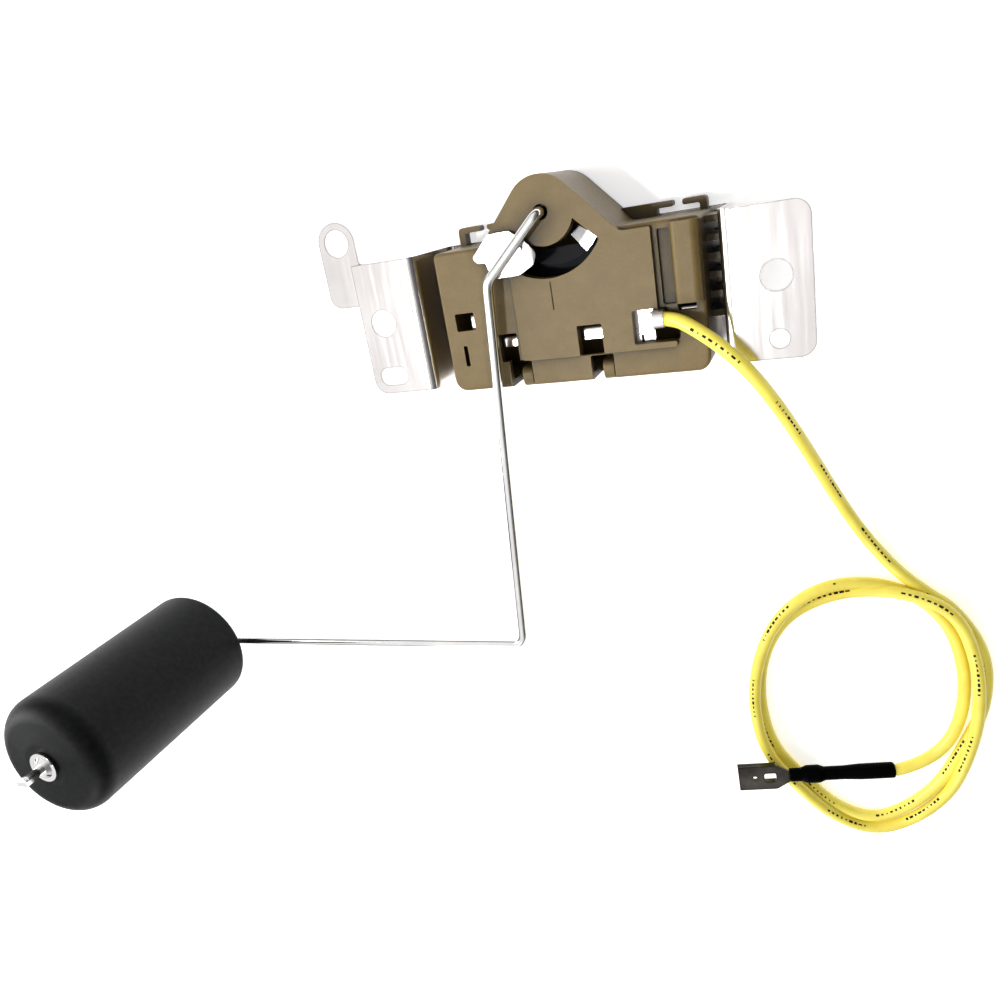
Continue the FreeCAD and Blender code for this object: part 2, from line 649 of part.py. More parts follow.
def make_float():
    bore = wire + size("hub_gap")
    radius = size("float_radius")
    rim = float_front - size("float_dome")
    revolve("float", rod_x, rod_y, [
        (bore, float_back, 0), (radius, float_back, 1.8), (radius, rim, size("float_round")),
        (size("nut_radius") + 2.2, float_front, 5.0), (bore, float_front, 0),
    ])


def make_nut():
    bore = wire + 0.02
    cone = nut_seat + size("nut_cone")
    thick = size("nut_thick")
    radius = size("nut_radius")
    revolve("float_push_nut", rod_x, rod_y, [
        (bore, cone, 0), (1.9, cone, 0), (2.6, nut_seat, 0), (radius, nut_seat, 0),
        (radius, nut_seat + thick, 0), (2.9, nut_seat + thick, 0), (2.1, cone + thick, 0),
        (bore, cone + thick, 0),
    ])


# Lead: a free cord from the crimp barrel over the bracket's corner, down to the bench and round in loops
lead_route = [
    (19.2, -5.9, 23.45), (23.2, -5.9, 23.5), (28.0, -8.1, 26.9), (33.2, -12.0, 28.2), (38.6, -18.2, 27.6),
    (43.2, -27.4, 22.2), (48.0, -39.6, 14.2), (53.2, -53.2, 6.6), (58.8, -65.0, 2.2), (65.6, -74.4, 1.5),
    (73.0, -80.6, 1.5),
]
tail_route = [(77.4, -117.6, 3.2), (74.6, -123.4, 3.0), (70.2, -128.0, 2.9), (64.7, -130.2, 3.4)]
# A point that the terminal is aimed at from the end of the tail
aim = (39.0, -131.0, 8.0)


def lay_lead(name, route):
    points = [FreeCAD.Vector(*place) for place in route]
    radii = []
    for index in range(1, len(points) - 1):
        back = points[index] - points[index - 1]
        ahead = points[index + 1] - points[index]
        turn = back.getAngle(ahead)
        radii.append(0.45 * min(back.Length, ahead.Length) / math.tan(turn / 2))
        if turn > math.radians(90):
            raise ValueError(name + " turns too sharply")
    bar, length = tube(points, radii, lead)
    print(name, "length %.1f" % length, "radii", [round(radius, 1) for radius in radii])
    plain_feature(name, bar)


def make_coil():
    body = new_body("lead_coil")
    centre = FreeCAD.Vector(size("coil_x"), size("coil_y"), 0)
    hole = FreeCAD.Vector(size("coil_hole_x"), size("coil_y"), 0)
    loops = [
        [Part.Ellipse(centre + FreeCAD.Vector(0, size("coil_half_y"), 0),
                      centre + FreeCAD.Vector(size("coil_half_x"), 0, 0), centre)],
        [Part.Ellipse(hole + FreeCAD.Vector(0, size("coil_hole_half_y"), 0),
                      hole + FreeCAD.Vector(size("coil_hole_half_x"), 0, 0), hole)],
    ]
    pad(body, "XY_Plane", "0", "sizes.coil_height", loops)


# Lead end: shrink sleeve over the crimp and a rolled blade terminal, tilted up over the loops
def lead_end_placement():
    start = FreeCAD.Vector(*tail_route[-1])
    along = FreeCAD.Vector(*aim) - start
    along.normalize()
    across = FreeCAD.Vector(0, 0, 1).cross(along)
    across.normalize()
    up = along.cross(across * -1)
    return FreeCAD.Placement(FreeCAD.Matrix(
        -across.x, up.x, along.x, start.x, -across.y, up.y, along.y, start.y,
        -across.z, up.z, along.z, start.z))


sleeve_long = 26.0


def make_sleeve():
    neck = size("sleeve_neck")
    bump = size("sleeve_bump")
    wide = size("sleeve_radius")
    body = revolve("shrink_sleeve", 0, 0, [
        (0, 0, 0), (wide, 0, 0.7), (wide, 8.4, 6.0), (neck, 12.5, 6.0), (neck, 17.2, 1.0),
        (bump, 18.6, 1.0), (bump, 21.6, 1.0), (neck, 23.0, 1.0), (neck, sleeve_long, 0.4),
        (0, sleeve_long, 0),
    ])
    body.Placement = lead_end_placement()


def make_terminal():
    body = new_body("blade_terminal")
    half = size("blade_wide") / 2
    throat = sleeve_long + size("throat")
    end = sleeve_long + size("blade_long")
    floor = [(-1.5, sleeve_long, 0), (1.5, sleeve_long, 0), (half, throat, 1.0), (half, end, 0.3),
             (-half, end, 0.3), (-half, throat, 1.0)]
    pad(body, "XZ_Plane", "0", "sizes.blade_thick", [rounded_loop(floor)])
    rail = size("rail_radius")
    rails = [round_hole(side * (half - rail), 0.5, rail) for side in (-1, 1)]
    pad(body, "XY_Plane", str(throat), "sizes.blade_long - sizes.throat", rails)
    holes = [box_loop(-1.3, throat, 1.3, throat + 3.0, 0.5), round_hole(0, end - 4.2, 0.6)]
    pocket(body, "XZ_Plane", "sizes.blade_thick + 1", "sizes.blade_thick + 2", holes)
    body.Placement = lead_end_placement()


makers = (
    make_bracket, make_housing, make_carrier, make_card, make_rivets, make_ground_strap, make_signal_lug,
    make_hub, make_rotor_plate, make_wiper_plate, make_wiper_contacts, make_arm, make_float, make_nut,
)
for make in makers:
    make()
lay_lead("lead_run", lead_route)
make_coil()
lay_lead("lead_tail", tail_route)
make_sleeve()
make_terminal()

doc.recompute()
for item in doc.Objects:
    if "Invalid" in item.State or "Error" in item.State:
        raise ValueError(item.Name + " failed")
for item in parts:
    if item.Shape.isNull() or not item.Shape.isValid():
        raise ValueError(item.Label + " has no valid shape")
    item.Shape.exportStep("parts/" + item.Label + ".step")
    box = item.Shape.BoundBox
    limits = [round(value, 2) for value in (box.XMin, box.YMin, box.ZMin, box.XMax, box.YMax, box.ZMax)]
    print(item.Label, "solids", len(item.Shape.Solids), "volume %.1f" % item.Shape.Volume, "box", limits)
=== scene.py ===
import math
import bpy
from mathutils import Matrix, Vector


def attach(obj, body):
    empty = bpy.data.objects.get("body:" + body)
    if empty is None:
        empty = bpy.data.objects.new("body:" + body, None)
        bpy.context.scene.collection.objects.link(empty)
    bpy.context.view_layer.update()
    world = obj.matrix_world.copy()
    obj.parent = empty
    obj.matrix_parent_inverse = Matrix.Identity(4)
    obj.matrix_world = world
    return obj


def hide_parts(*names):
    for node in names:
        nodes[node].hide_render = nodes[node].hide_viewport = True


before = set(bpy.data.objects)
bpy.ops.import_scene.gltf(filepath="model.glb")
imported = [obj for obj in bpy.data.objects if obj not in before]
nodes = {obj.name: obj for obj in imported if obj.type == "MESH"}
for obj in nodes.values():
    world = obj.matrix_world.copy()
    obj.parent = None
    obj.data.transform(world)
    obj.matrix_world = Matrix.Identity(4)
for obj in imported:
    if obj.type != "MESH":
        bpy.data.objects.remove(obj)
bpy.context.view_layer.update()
scene = bpy.context.scene
print("frame loaded:", len(nodes), "nodes")


# Small tools for meshes, materials and shader trees

millimetre = 0.001
# A colour mix keeps its colour sockets at these places, and shares their names with its other kinds
mixSockets = {"factor": 0, "first": 6, "second": 7, "result": 2}


def toMetres(place):
    return Vector(place) * millimetre


def linkPiece(name, mesh, body, smoothAngle=35):
    piece = bpy.data.objects.new(name, mesh)
    scene.collection.objects.link(piece)
    for face in mesh.polygons:
        face.use_smooth = True
    mesh.set_sharp_from_angle(angle=math.radians(smoothAngle))
    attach(piece, body)
    return piece


def paint(piece, material):
    piece.data.materials.clear()
    piece.data.materials.append(material)


def addNode(tree, kind, place, **settings):
    node = tree.nodes.new(kind)
    node.location = place
    for key, value in settings.items():
        setattr(node, key, value)
    return node


def newGroup(name, inputs, outputs):
    group = bpy.data.node_groups.new(name, "ShaderNodeTree")
    for label, kind, value in inputs:
        group.interface.new_socket(name=label, in_out="INPUT", socket_type=kind).default_value = value
    for label, kind in outputs:
        group.interface.new_socket(name=label, in_out="OUTPUT", socket_type=kind)
    return group


def ramp(tree, place, stops):
    node = addNode(tree, "ShaderNodeValToRGB", place)
    elements = node.color_ramp.elements
    while len(elements) < len(stops):
        elements.new(0.5)
    for element, (position, shade) in zip(elements, stops):
        element.position = position
        element.color = (*shade, 1)
    return node


def grey(value):
    return (value, value, value)


# Shared effects: fine grain with patches, an edge mask for painted edge highlights, painted dark outlines and
# the brass's lighter edges, a drawn grain along one axis, and painted shade in corners

patchScale = 0.12


def makeGrainGroup():
    group = newGroup("surfaceGrain", [
        ("Size", "NodeSocketFloat", 400.0), ("Detail", "NodeSocketFloat", 4.0),
        ("Relief", "NodeSocketFloat", 0.1), ("Depth", "NodeSocketFloat", 0.0001),
        ("Rounding", "NodeSocketFloat", 0.0002),
    ], [("Mask", "NodeSocketFloat"), ("Patches", "NodeSocketFloat"), ("Normal", "NodeSocketVector")])
    entry = addNode(group, "NodeGroupInput", (-900, 0))
    place = addNode(group, "ShaderNodeTexCoord", (-900, -250))
    fine = addNode(group, "ShaderNodeTexNoise", (-600, 100))
    group.links.new(place.outputs["Object"], fine.inputs["Vector"])
    group.links.new(entry.outputs["Size"], fine.inputs["Scale"])
    group.links.new(entry.outputs["Detail"], fine.inputs["Detail"])
    coarse = addNode(group, "ShaderNodeTexNoise", (-600, -250))
    coarse.inputs["Detail"].default_value = 3.0
    larger = addNode(group, "ShaderNodeMath", (-760, -120), operation="MULTIPLY")
    larger.inputs[1].default_value = patchScale
    group.links.new(entry.outputs["Size"], larger.inputs[0])
    group.links.new(place.outputs["Object"], coarse.inputs["Vector"])
    group.links.new(larger.outputs[0], coarse.inputs["Scale"])
    rounded = addNode(group, "ShaderNodeBevel", (-600, 380), samples=6)
    group.links.new(entry.outputs["Rounding"], rounded.inputs["Radius"])
    bump = addNode(group, "ShaderNodeBump", (-250, 100))
    group.links.new(rounded.outputs["Normal"], bump.inputs["Normal"])
    group.links.new(fine.outputs["Fac"], bump.inputs["Height"])
    group.links.new(entry.outputs["Relief"], bump.inputs["Strength"])
    group.links.new(entry.outputs["Depth"], bump.inputs["Distance"])
    leave = addNode(group, "NodeGroupOutput", (0, 0))
    group.links.new(fine.outputs["Fac"], leave.inputs["Mask"])
    group.links.new(coarse.outputs["Fac"], leave.inputs["Patches"])
    group.links.new(bump.outputs["Normal"], leave.inputs["Normal"])
    return group


# The edge mask marks a thin band along edges, which the materials colour with painted highlights and painted
# dark outlines
def makeRubbedGroup():
    group = newGroup("edgeMask", [
        ("Reach", "NodeSocketFloat", 0.0004), ("Sharpness", "NodeSocketFloat", 6.0),
    ], [("Edge", "NodeSocketFloat")])
    entry = addNode(group, "NodeGroupInput", (-900, 0))
    rounded = addNode(group, "ShaderNodeBevel", (-700, 100), samples=4)
    group.links.new(entry.outputs["Reach"], rounded.inputs["Radius"])
    plain = addNode(group, "ShaderNodeNewGeometry", (-700, -120))
    dot = addNode(group, "ShaderNodeVectorMath", (-480, 0), operation="DOT_PRODUCT")
    group.links.new(rounded.outputs["Normal"], dot.inputs[0])
    group.links.new(plain.outputs["Normal"], dot.inputs[1])
    turnedBy = addNode(group, "ShaderNodeMath", (-300, 0), operation="SUBTRACT")
    turnedBy.inputs[0].default_value = 1.0
    group.links.new(dot.outputs["Value"], turnedBy.inputs[1])
    scaled = addNode(group, "ShaderNodeMath", (-120, 0), operation="MULTIPLY", use_clamp=True)
    group.links.new(turnedBy.outputs[0], scaled.inputs[0])
    group.links.new(entry.outputs["Sharpness"], scaled.inputs[1])
    leave = addNode(group, "NodeGroupOutput", (80, 0))
    group.links.new(scaled.outputs[0], leave.inputs["Edge"])
    return group


def makeDrawnGroup():
    group = newGroup("drawnGrain", [
        ("Stretch", "NodeSocketVector", (40.0, 900.0, 900.0)), ("Relief", "NodeSocketFloat", 0.05),
    ], [("Streaks", "NodeSocketFloat"), ("Normal", "NodeSocketVector")])
    entry = addNode(group, "NodeGroupInput", (-900, 0))
    place = addNode(group, "ShaderNodeTexCoord", (-900, -200))
    scaled = addNode(group, "ShaderNodeVectorMath", (-700, -100), operation="MULTIPLY")
    group.links.new(place.outputs["Object"], scaled.inputs[0])
    group.links.new(entry.outputs["Stretch"], scaled.inputs[1])
    streaks = addNode(group, "ShaderNodeTexNoise", (-500, 0))
    streaks.inputs["Scale"].default_value = 1.0
    streaks.inputs["Detail"].default_value = 3.0
    group.links.new(scaled.outputs[0], streaks.inputs["Vector"])
    bump = addNode(group, "ShaderNodeBump", (-250, 50))
    bump.inputs["Distance"].default_value = 0.00005
    group.links.new(entry.outputs["Relief"], bump.inputs["Strength"])
    group.links.new(streaks.outputs["Fac"], bump.inputs["Height"])
    leave = addNode(group, "NodeGroupOutput", (0, 0))
    group.links.new(streaks.outputs["Fac"], leave.inputs["Streaks"])
    group.links.new(bump.outputs["Normal"], leave.inputs["Normal"])
    return group


# Painted shade: an occlusion test darkens the colour in corners and recesses
def makeCornerGroup():
    group = newGroup("cornerShade", [
        ("Reach", "NodeSocketFloat", 0.004), ("Depth", "NodeSocketFloat", 0.6),
    ], [("Open", "NodeSocketFloat")])
    entry = addNode(group, "NodeGroupInput", (-700, 0))
    hidden = addNode(group, "ShaderNodeAmbientOcclusion", (-500, 0), samples=6)
    group.links.new(entry.outputs["Reach"], hidden.inputs["Distance"])
    closed = addNode(group, "ShaderNodeMath", (-320, 0), operation="SUBTRACT")
    closed.inputs[0].default_value = 1.0
    group.links.new(hidden.outputs["AO"], closed.inputs[1])
    darker = addNode(group, "ShaderNodeMath", (-160, 0), operation="MULTIPLY")
    group.links.new(closed.outputs[0], darker.inputs[0])
    group.links.new(entry.outputs["Depth"], darker.inputs[1])
    left = addNode(group, "ShaderNodeMath", (0, 0), operation="SUBTRACT", use_clamp=True)
    left.inputs[0].default_value = 1.0
    group.links.new(darker.outputs[0], left.inputs[1])
    squared = addNode(group, "ShaderNodeMath", (160, 0), operation="POWER")
    squared.inputs[1].default_value = 2.0
    group.links.new(left.outputs[0], squared.inputs[0])
    leave = addNode(group, "NodeGroupOutput", (340, 0))
    group.links.new(squared.outputs[0], leave.inputs["Open"])
    return group


grainGroup = makeGrainGroup()
cornerGroup = makeCornerGroup()
edgeMaskGroup = makeRubbedGroup()
drawnGroup = makeDrawnGroup()


def useGroup(tree, group, place, **values):
    node = addNode(tree, "ShaderNodeGroup", place, node_tree=group)
    for label, value in values.items():
        node.inputs[label].default_value = value
    return node


def startMaterial(name, **plain):
    material = bpy.data.materials.new(name)
    material.use_nodes = True
    tree = material.node_tree
    shader = tree.nodes["Principled BSDF"]
    for label, value in plain.items():
        shader.inputs[label.replace("_", " ")].default_value = value
    return material, tree, shader


def mixShades(tree, place, factor, first, second):
    mix = addNode(tree, "ShaderNodeMix", place, data_type="RGBA")
    for word, value in (("first", first), ("second", second)):
        socket = mix.inputs[mixSockets[word]]
        if isinstance(value, bpy.types.NodeSocket):
            tree.links.new(value, socket)
        else:
            socket.default_value = (*value, 1)
    tree.links.new(factor, mix.inputs[mixSockets["factor"]])
    return mix.outputs[mixSockets["result"]]


def multiplyShades(tree, place, first, second):
    mix = addNode(tree, "ShaderNodeMix", place, data_type="RGBA", blend_type="MULTIPLY")
    mix.inputs[mixSockets["factor"]].default_value = 1.0
    tree.links.new(first, mix.inputs[mixSockets["first"]])
    tree.links.new(second, mix.inputs[mixSockets["second"]])
    return mix.outputs[mixSockets["result"]]


# Moulded plastic: a tan body with flow marks, fine spark texture, painted highlights on the edges and painted
# shade in the corners

tanShades = {"shade": (0.152, 0.104, 0.037), "pale": (0.21, 0.15, 0.068), "deep": (0.130, 0.088, 0.030)}


def makeMoulded(name, shades, grainSize=2600.0, roughness=0.42):
    material, tree, shader = startMaterial(name, Specular_IOR_Level=0.24)
    grain = useGroup(tree, grainGroup, (-900, 100), Size=grainSize, Detail=3.0, Relief=0.25, Depth=0.00006)
    edges = useGroup(tree, edgeMaskGroup, (-900, -200), Reach=0.0005, Sharpness=2.2)
    flow = ramp(tree, (-700, 250), [(0.30, grey(0.0)), (0.72, grey(1.0))])
    tree.links.new(grain.outputs["Patches"], flow.inputs["Fac"])
    body = mixShades(tree, (-450, 250), flow.outputs["Color"], shades["deep"], shades["shade"])
    specks = ramp(tree, (-700, 480), [(0.42, grey(0.94)), (0.60, grey(1.05))])
    tree.links.new(grain.outputs["Mask"], specks.inputs["Fac"])
    speckled = multiplyShades(tree, (-350, 330), body, specks.outputs["Color"])
    # Painted highlight: the edges are lightened to the pale colour
    edgeLit = mixShades(tree, (-250, 150), edges.outputs["Edge"], speckled, shades["pale"])
    # Painted shade in the corners and recesses
    corners = useGroup(tree, cornerGroup, (-450, 500), Reach=0.0045, Depth=0.95)
    shaded = multiplyShades(tree, (-80, 250), edgeLit, corners.outputs["Open"])
    tree.links.new(shaded, shader.inputs["Base Color"])
    rough = ramp(tree, (-450, -50), [(0.3, grey(roughness - 0.08)), (0.7, grey(roughness + 0.10))])
    tree.links.new(grain.outputs["Mask"], rough.inputs["Fac"])
    tree.links.new(rough.outputs["Color"], shader.inputs["Roughness"])
    tree.links.new(grain.outputs["Normal"], shader.inputs["Normal"])
    return material


whiteShades = {"shade": (0.78, 0.77, 0.72), "pale": (0.86, 0.85, 0.82), "deep": (0.62, 0.60, 0.54)}
tanMoulding = makeMoulded("tanMoulding", tanShades)
whiteMoulding = makeMoulded("whiteMoulding", whiteShades, grainSize=1800.0, roughness=0.38)


# Metal: plated sheet for the bracket, drawn bright wire, tinned strip, brass and a terminal in painted shade.
# Edge colours paint dark outlines of shade on the plated sheet, the wire, the tinned strip and the terminal.
# A fade paints shade on a piece towards a point or a line.

def fadeAlong(tree, fade):
    place = addNode(tree, "ShaderNodeTexCoord", (-1400, 500))
    centred = addNode(tree, "ShaderNodeVectorMath", (-1220, 500), operation="SUBTRACT")
    centred.inputs[1].default_value = toMetres(fade["from"])
    tree.links.new(place.outputs["Object"], centred.inputs[0])
    kept = addNode(tree, "ShaderNodeVectorMath", (-1040, 500), operation="MULTIPLY")
    kept.inputs[1].default_value = fade["keep"]
    tree.links.new(centred.outputs[0], kept.inputs[0])
    reach = addNode(tree, "ShaderNodeVectorMath", (-860, 500), operation="LENGTH")
    tree.links.new(kept.outputs[0], reach.inputs[0])
    spread = addNode(tree, "ShaderNodeMapRange", (-680, 500), interpolation_type="SMOOTHSTEP")
    spread.inputs["From Min"].default_value = fade["dark"] * millimetre
    spread.inputs["From Max"].default_value = fade["bright"] * millimetre
    spread.inputs["To Min"].default_value = fade["least"]
    tree.links.new(reach.outputs["Value"], spread.inputs["Value"])
    return spread.outputs["Result"]


def makeSteel(name, shades, stretch, relief, roughness, edge=(0.00022, 2.0), fade=None):
    material, tree, shader = startMaterial(name, Metallic=1.0)
    drawn = useGroup(tree, drawnGroup, (-900, 100), Stretch=stretch, Relief=relief)
    spots = useGroup(tree, grainGroup, (-900, -200), Size=900.0, Detail=4.0, Relief=0.0, Depth=0.0)
    edges = useGroup(tree, edgeMaskGroup, (-900, -450), Reach=edge[0], Sharpness=edge[1])
    cloud = ramp(tree, (-680, -200), [(0.35, grey(0.0)), (0.70, grey(1.0))])
    tree.links.new(spots.outputs["Patches"], cloud.inputs["Fac"])
    body = mixShades(tree, (-450, 150), cloud.outputs["Color"], shades["low"], shades["high"])
    # Painted edges: dark outlines of shade on most metals, lighter edges on the brass
    edged = mixShades(tree, (-260, 100), edges.outputs["Edge"], body, shades["edge"])
    if fade:
        edged = multiplyShades(tree, (-100, 200), edged, fadeAlong(tree, fade))
    tree.links.new(edged, shader.inputs["Base Color"])
    rough = ramp(tree, (-450, -100), [(0.3, grey(roughness * 0.8)), (0.75, grey(roughness * 1.35))])
    tree.links.new(drawn.outputs["Streaks"], rough.inputs["Fac"])
    tree.links.new(rough.outputs["Color"], shader.inputs["Roughness"])
    tree.links.new(drawn.outputs["Normal"], shader.inputs["Normal"])
    return material


# The plated sheet's dark edge colour is a painted outline of shade
platedShades = {"low": (0.69, 0.655, 0.64), "high": (0.74, 0.71, 0.70), "edge": (0.05, 0.047, 0.044)}
platedSteel = makeSteel("platedSteel", platedShades, stretch=(1400.0, 60.0, 1400.0), relief=0.01,
                        roughness=0.15, edge=(0.00045, 4.0))
# The rotor plate has painted shade from the housing at its right end, and the sector has painted shade up to
# its rim
rotorSteel = makeSteel(
    "rotorSteel", platedShades, stretch=(1400.0, 60.0, 1400.0), relief=0.03, roughness=0.26,
    fade={"from": (-4.0, 0.0, 0.0), "keep": (1, 0, 0), "dark": 0.3, "bright": 4.6, "least": 0.04})
brightShades = {"low": (0.74, 0.73, 0.72), "high": (0.84, 0.83, 0.82), "edge": (0.50, 0.49, 0.48)}
brightSteel = makeSteel("brightSteel", brightShades, stretch=(900.0, 900.0, 60.0), relief=0.0,
                        roughness=0.13)
sectorSteel = makeSteel(
    "sectorSteel", brightShades, stretch=(900.0, 900.0, 60.0), relief=0.0, roughness=0.20,
    fade={"from": (-2.2, 18.9, 0.0), "keep": (1, 1, 0), "dark": 9.4, "bright": 11.6, "least": 0.03})
tinnedShades = {"low": (0.74, 0.68, 0.67), "high": (0.86, 0.81, 0.80), "edge": (0.55, 0.50, 0.48)}
tinnedMetal = makeSteel("tinnedMetal", tinnedShades, stretch=(400.0, 900.0, 900.0), relief=0.03,
                        roughness=0.30)
brassShades = {"low": (0.50, 0.36, 0.14), "high": (0.68, 0.52, 0.26), "edge": (0.80, 0.66, 0.38)}
brassMetal = makeSteel("brassMetal", brassShades, stretch=(300.0, 900.0, 900.0), relief=0.06,
                       roughness=0.28)
# Painted shade: the tinned terminal is kept nearly black
shadedTerminalColours = {"low": (0.020, 0.019, 0.018), "high": (0.10, 0.092, 0.08), "edge": (0.004, 0.004, 0.004)}
terminalInShade = makeSteel("terminalInShade", shadedTerminalColours, stretch=(300.0, 700.0, 700.0), relief=0.25,
                          roughness=0.26, edge=(0.0009, 3.0))


# Card: ceramic in painted shade, nearly black, with a printed track in an arc about the pivot

cardLook = {
    "pivot": (-2.2, 18.9, 0.0), "trackNear": 0.0083, "trackFar": 0.0117,
    "ceramic": (0.004, 0.005, 0.009), "track": (0.014, 0.014, 0.017),
}


def makeCardMaterial(look):
    material, tree, shader = startMaterial("cardCeramic", Roughness=0.45, Specular_IOR_Level=0.05)
    place = addNode(tree, "ShaderNodeTexCoord", (-1200, 0))
    centred = addNode(tree, "ShaderNodeVectorMath", (-1000, 0), operation="SUBTRACT")
    centred.inputs[1].default_value = toMetres(look["pivot"])
    tree.links.new(place.outputs["Object"], centred.inputs[0])
    flat = addNode(tree, "ShaderNodeVectorMath", (-820, 0), operation="MULTIPLY")
    flat.inputs[1].default_value = (1, 1, 0)
    tree.links.new(centred.outputs[0], flat.inputs[0])
    reach = addNode(tree, "ShaderNodeVectorMath", (-640, 0), operation="LENGTH")
    tree.links.new(flat.outputs[0], reach.inputs[0])
    beyond = addNode(tree, "ShaderNodeMath", (-460, 80), operation="GREATER_THAN")
    beyond.inputs[1].default_value = look["trackNear"]
    within = addNode(tree, "ShaderNodeMath", (-460, -80), operation="LESS_THAN")
    within.inputs[1].default_value = look["trackFar"]
    tree.links.new(reach.outputs["Value"], beyond.inputs[0])
    tree.links.new(reach.outputs["Value"], within.inputs[0])
    both = addNode(tree, "ShaderNodeMath", (-300, 0), operation="MULTIPLY")
    tree.links.new(beyond.outputs[0], both.inputs[0])
    tree.links.new(within.outputs[0], both.inputs[1])
    # Painted shade: the ceramic is kept nearly black
    shade = mixShades(tree, (-150, 50), both.outputs[0], look["ceramic"], look["track"])
    tree.links.new(shade, shader.inputs["Base Color"])
    grain = useGroup(tree, grainGroup, (-500, -300), Size=3000.0, Detail=3.0, Relief=0.1, Depth=0.00003)
    tree.links.new(grain.outputs["Normal"], shader.inputs["Normal"])
    return material


cardCeramic = makeCardMaterial(cardLook)


# Float: black closed-cell foam, dull, with pores, a faint dusty bloom and a painted highlight on its edges

foamLook = {
    "deep": (0.0040, 0.0045, 0.0056), "dustAndSheen": (0.0090, 0.0092, 0.0092), "roughness": 0.42, "pores": 5200.0,
}


def makeFoamMaterial(look):
    material, tree, shader = startMaterial("blackFoam", Specular_IOR_Level=0.10)
    grain = useGroup(tree, grainGroup, (-900, 100), Size=look["pores"], Detail=4.0, Relief=0.55, Depth=0.0001)
    cloud = ramp(tree, (-650, 250), [(0.38, grey(0.0)), (0.75, grey(1.0))])
    tree.links.new(grain.outputs["Patches"], cloud.inputs["Fac"])
    body = mixShades(tree, (-420, 200), cloud.outputs["Color"], look["deep"], look["dustAndSheen"])
    edges = useGroup(tree, edgeMaskGroup, (-650, -150), Reach=0.0012, Sharpness=1.5)
    # Painted highlight: the edges are lightened towards the dust colour
    edgeLit = mixShades(tree, (-220, 100), edges.outputs["Edge"], body, look["dustAndSheen"])
    tree.links.new(edgeLit, shader.inputs["Base Color"])
    rough = ramp(tree, (-420, -50), [
        (0.3, grey(look["roughness"] - 0.06)), (0.7, grey(look["roughness"] + 0.12))])
    tree.links.new(grain.outputs["Mask"], rough.inputs["Fac"])
    tree.links.new(rough.outputs["Color"], shader.inputs["Roughness"])
    tree.links.new(grain.outputs["Normal"], shader.inputs["Normal"])
    return material


blackFoam = makeFoamMaterial(foamLook)


# Lead: yellow extruded insulation with a soft sheen, the black shrink tube and the ink of the print

leadLook = {"body": (0.90, 0.77, 0.105), "shade": (0.80, 0.65, 0.075), "roughness": 0.34}


def makeLeadMaterial(look):
    material, tree, shader = startMaterial("yellowInsulation", Specular_IOR_Level=0.5, Coat_Weight=0.15,
                                           Coat_Roughness=0.25)
    grain = useGroup(tree, grainGroup, (-800, 100), Size=1500.0, Detail=3.0, Relief=0.08, Depth=0.00005)
    cloud = ramp(tree, (-560, 200), [(0.25, grey(0.0)), (0.65, grey(1.0))])
    tree.links.new(grain.outputs["Patches"], cloud.inputs["Fac"])
    body = mixShades(tree, (-320, 150), cloud.outputs["Color"], look["shade"], look["body"])
    tree.links.new(body, shader.inputs["Base Color"])
    rough = ramp(tree, (-320, -100), [
        (0.3, grey(look["roughness"] - 0.06)), (0.7, grey(look["roughness"] + 0.08))])
    tree.links.new(grain.outputs["Mask"], rough.inputs["Fac"])
    tree.links.new(rough.outputs["Color"], shader.inputs["Roughness"])
    tree.links.new(grain.outputs["Normal"], shader.inputs["Normal"])
    return material


def makeBlackSkin(name, shade, roughness, relief):
    material, tree, shader = startMaterial(name, Specular_IOR_Level=0.015)
    grain = useGroup(tree, grainGroup, (-700, 100), Size=700.0, Detail=3.0, Relief=relief, Depth=0.0002)
    cloud = ramp(tree, (-460, 150), [(0.3, grey(shade)), (0.7, grey(shade * 1.9))])
    tree.links.new(grain.outputs["Patches"], cloud.inputs["Fac"])
    tree.links.new(cloud.outputs["Color"], shader.inputs["Base Color"])
    rough = ramp(tree, (-460, -80), [(0.3, grey(roughness - 0.08)), (0.7, grey(roughness + 0.1))])
    tree.links.new(grain.outputs["Mask"], rough.inputs["Fac"])
    tree.links.new(rough.outputs["Color"], shader.inputs["Roughness"])
    tree.links.new(grain.outputs["Normal"], shader.inputs["Normal"])
    return material


yellowInsulation = makeLeadMaterial(leadLook)
blackSleeve = makeBlackSkin("blackSleeve", shade=0.0005, roughness=0.30, relief=0.5)
printInk = makeBlackSkin("printInk", shade=0.014, roughness=0.5, relief=0.1)
print("materials built")

finishes = {
    "mounting_bracket": platedSteel, "sensor_housing": tanMoulding, "rear_carrier": tanMoulding,
    "resistor_card": cardCeramic, "card_rivets": brassMetal, "ground_strap": brassMetal,
    "signal_lug": tinnedMetal, "rotor_hub": whiteMoulding, "rotor_plate": rotorSteel,
    "wiper_plate": sectorSteel, "wiper_contacts": brassMetal,
    "float_arm": brightSteel, "float": blackFoam, "float_push_nut": brightSteel,
    "lead_run": yellowInsulation, "lead_coil": yellowInsulation, "lead_tail": yellowInsulation,
    "shrink_sleeve": blackSleeve, "blade_terminal": terminalInShade,
}
for word, finish in finishes.items():
    paint(nodes[word], finish)


# Lead: one smooth line from the crimp barrel, over the bracket's corner and down to the bench, where it lies
# in two loose turns

